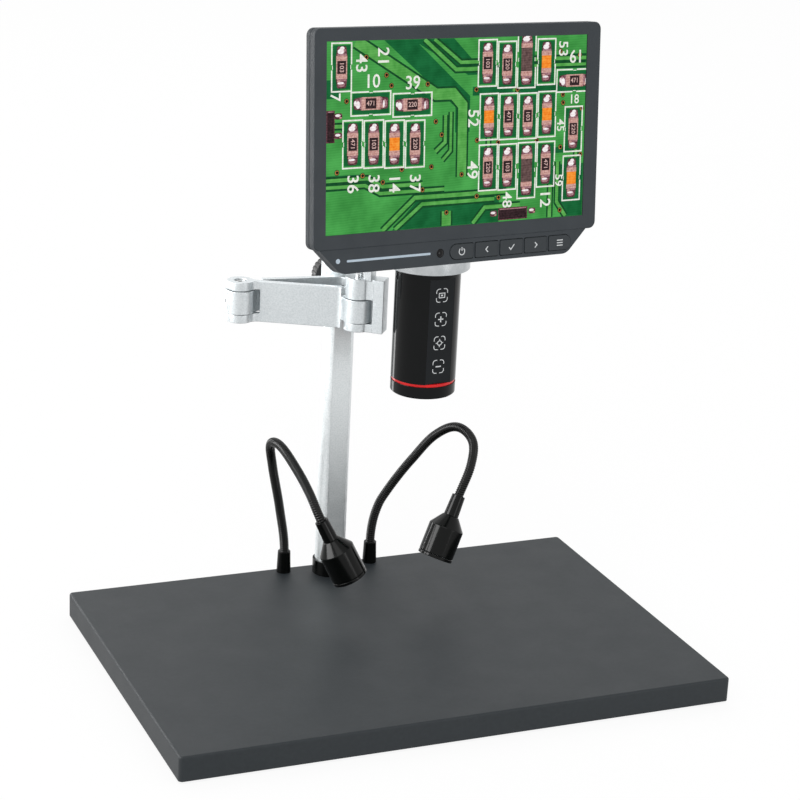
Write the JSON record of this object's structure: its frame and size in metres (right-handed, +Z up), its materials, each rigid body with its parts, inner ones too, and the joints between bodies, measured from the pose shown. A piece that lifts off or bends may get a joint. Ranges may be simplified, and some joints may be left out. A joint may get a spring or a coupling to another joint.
{
  "type": "lcd digital microscope",
  "caption": "Bench digital microscope: an LCD over a black scope tube, on a folding aluminium arm clamped to a column, with a wide flat base and gooseneck lamps.",
  "frame": {"origin": "middle of the whole stand, on the surface that the feet rest on", "axes": "+Z up along the column, -Y the front of the base, +X to the right of someone facing it"},
  "size_m": [0.4, 0.2836, 0.4571],
  "materials": {
    "powder_black": "fine matte powder coat",
    "foot_rubber": "matte",
    "screw_steel": "zinc plated",
    "black_oxide": "black oxide",
    "silver_aluminium": "bead blasted, clear anodised",
    "collar_metal": "black anodised",
    "black_plastic": "matte",
    "nylon": "natural",
    "neck_black": "black, wound steel",
    "lamp_black": "black anodised",
    "frosted": "frosted clear",
    "led_board": "white circuit board",
    "scope_black": "gloss black",
    "panel_gloss": "gloss",
    "accent_red": "red anodised",
    "optical_glass": "coated",
    "circuit_green": "solder mask",
    "display_grey": "fine matte",
    "lcd_glass": "gloss",
    "light_white": "translucent white",
    "hinge_black": "satin black",
    "key_grey": "fine matte"
  },
  "bodies": {
    "base": {"base_pan": "powder_black", "base_cover": "powder_black", "base_feet": "foot_rubber", "cover_screws": "screw_steel", "column": "silver_aluminium", "column_collar": "collar_metal", "column_cap": "black_plastic", "column_plug": "silver_aluminium", "column_bolt": "screw_steel", "lamp_sockets": "collar_metal", "lamp_power_jack": "black_plastic"},
    "lamp_left": {"neck_left": "neck_black", "lamp_sleeve_left": "lamp_black", "lamp_head_left": "lamp_black", "lamp_ring_left": "lamp_black", "lamp_lens_left": "frosted", "lamp_led_left": "led_board"},
    "lamp_right": {"neck_right": "neck_black", "lamp_sleeve_right": "lamp_black", "lamp_head_right": "lamp_black", "lamp_ring_right": "lamp_black", "lamp_lens_right": "frosted", "lamp_led_right": "led_board"},
    "carriage": {"carriage_block": "silver_aluminium", "clamp_pad": "nylon"},
    "clamp_knob": {"clamp_knob": "black_plastic", "clamp_stud": "screw_steel"},
    "rear_link": {"rear_link": "silver_aluminium", "column_hinge_pin": "screw_steel", "elbow_set_screw": "black_oxide"},
    "front_link": {"front_link": "silver_aluminium", "elbow_pin": "screw_steel"},
    "bracket": {"wrist_bracket": "silver_aluminium", "wrist_pin": "screw_steel", "holder_ring": "silver_aluminium", "holder_screws": "screw_steel"},
    "ring_screw": {"ring_thumbscrew": "screw_steel"},
    "scope": {"scope_tube": "scope_black", "touch_panel": "panel_gloss", "accent_ring": "accent_red", "front_ring": "scope_black", "light_diffuser": "frosted", "led_ring_board": "led_board", "lens_barrel": "scope_black", "objective_lens": "optical_glass", "sensor_board": "circuit_green", "scope_cap": "black_plastic"},
    "focus_cell": {"focus_cell": "black_plastic"},
    "display": {"display_bezel": "display_grey", "lcd_panel": "lcd_glass", "display_back": "display_grey", "chin_lights": "light_white", "ir_window": "panel_gloss", "main_board": "circuit_green", "tilt_hinge": "hinge_black"},
    "key_power": {"key_power": "key_grey"},
    "key_previous": {"key_previous": "key_grey"},
    "key_select": {"key_select": "key_grey"},
    "key_next": {"key_next": "key_grey"},
    "key_menu": {"key_menu": "key_grey"}
  },
  "joints": [
    {"name": "carriage_slide", "type": "slide", "parent": "base", "child": "carriage", "axis": [0, 0, 1], "range_m": [-0.085, 0.095]},
    {"name": "clamp_turn", "type": "hinge", "parent": "carriage", "child": "clamp_knob", "pos_m": [-0.0014, 0.13153, 0.2475], "axis": [0, 1, 0], "range_deg": [-270, 0]},
    {"name": "column_hinge", "type": "hinge", "parent": "carriage", "child": "rear_link", "pos_m": [-0.0014, 0.08736, 0.2298], "axis": [0, 0, 1], "range_deg": [-20, 60]},
    {"name": "elbow", "type": "hinge", "parent": "rear_link", "child": "front_link", "pos_m": [-0.0851, 0.09653, 0.2298], "axis": [0, 0, 1], "range_deg": [-150, 0]},
    {"name": "wrist", "type": "hinge", "parent": "front_link", "child": "bracket", "pos_m": [-0.01122, 0.05613, 0.2298], "axis": [0, 0, 1], "range_deg": [-100, 30]},
    {"name": "scope_turn", "type": "hinge", "parent": "bracket", "child": "scope", "pos_m": [0.02819, 0.02545, 0.1911], "axis": [0, 0, 1], "range_deg": [-30, 30]},
    {"name": "ring_screw_turn", "type": "hinge", "parent": "bracket", "child": "ring_screw", "pos_m": [0.02819, 0.02545, 0.2866], "axis": [-0.1236, 0.9923, 0], "range_deg": [-180, 180]},
    {"name": "display_tilt", "type": "hinge", "parent": "scope", "child": "display", "pos_m": [0.02819, 0.02545, 0.3485], "axis": [0.9789, 0.2015, -0.0349], "range_deg": [-30, 1]},
    {"name": "key_power_press", "type": "slide", "parent": "display", "child": "key_power", "axis": [-0.2041, 0.9729, -0.1089], "range_m": [0, 0.0008], "stiffness_N_per_m": 300, "springref_m": -0.0003},
    {"name": "key_previous_press", "type": "slide", "parent": "display", "child": "key_previous", "axis": [-0.2041, 0.9729, -0.1089], "range_m": [0, 0.0008], "stiffness_N_per_m": 300, "springref_m": -0.0003},
    {"name": "key_select_press", "type": "slide", "parent": "display", "child": "key_select", "axis": [-0.2041, 0.9729, -0.1089], "range_m": [0, 0.0008], "stiffness_N_per_m": 300, "springref_m": -0.0003},
    {"name": "key_next_press", "type": "slide", "parent": "display", "child": "key_next", "axis": [-0.2041, 0.9729, -0.1089], "range_m": [0, 0.0008], "stiffness_N_per_m": 300, "springref_m": -0.0003},
    {"name": "key_menu_press", "type": "slide", "parent": "display", "child": "key_menu", "axis": [-0.2041, 0.9729, -0.1089], "range_m": [0, 0.0008], "stiffness_N_per_m": 300, "springref_m": -0.0003},
    {"name": "focus", "type": "slide", "parent": "scope", "child": "focus_cell", "axis": [0, 0, 1], "range_m": [-0.003, 0.003]},
    {"name": "lamp_left_swivel", "type": "hinge", "parent": "base", "child": "lamp_left", "pos_m": [-0.035, 0.12492, 0.0357], "axis": [0, 0, 1], "range_deg": [-20, 20]},
    {"name": "lamp_right_swivel", "type": "hinge", "parent": "base", "child": "lamp_right", "pos_m": [0.035, 0.12492, 0.0357], "axis": [0, 0, 1], "range_deg": [-20, 20]}
  ]
}
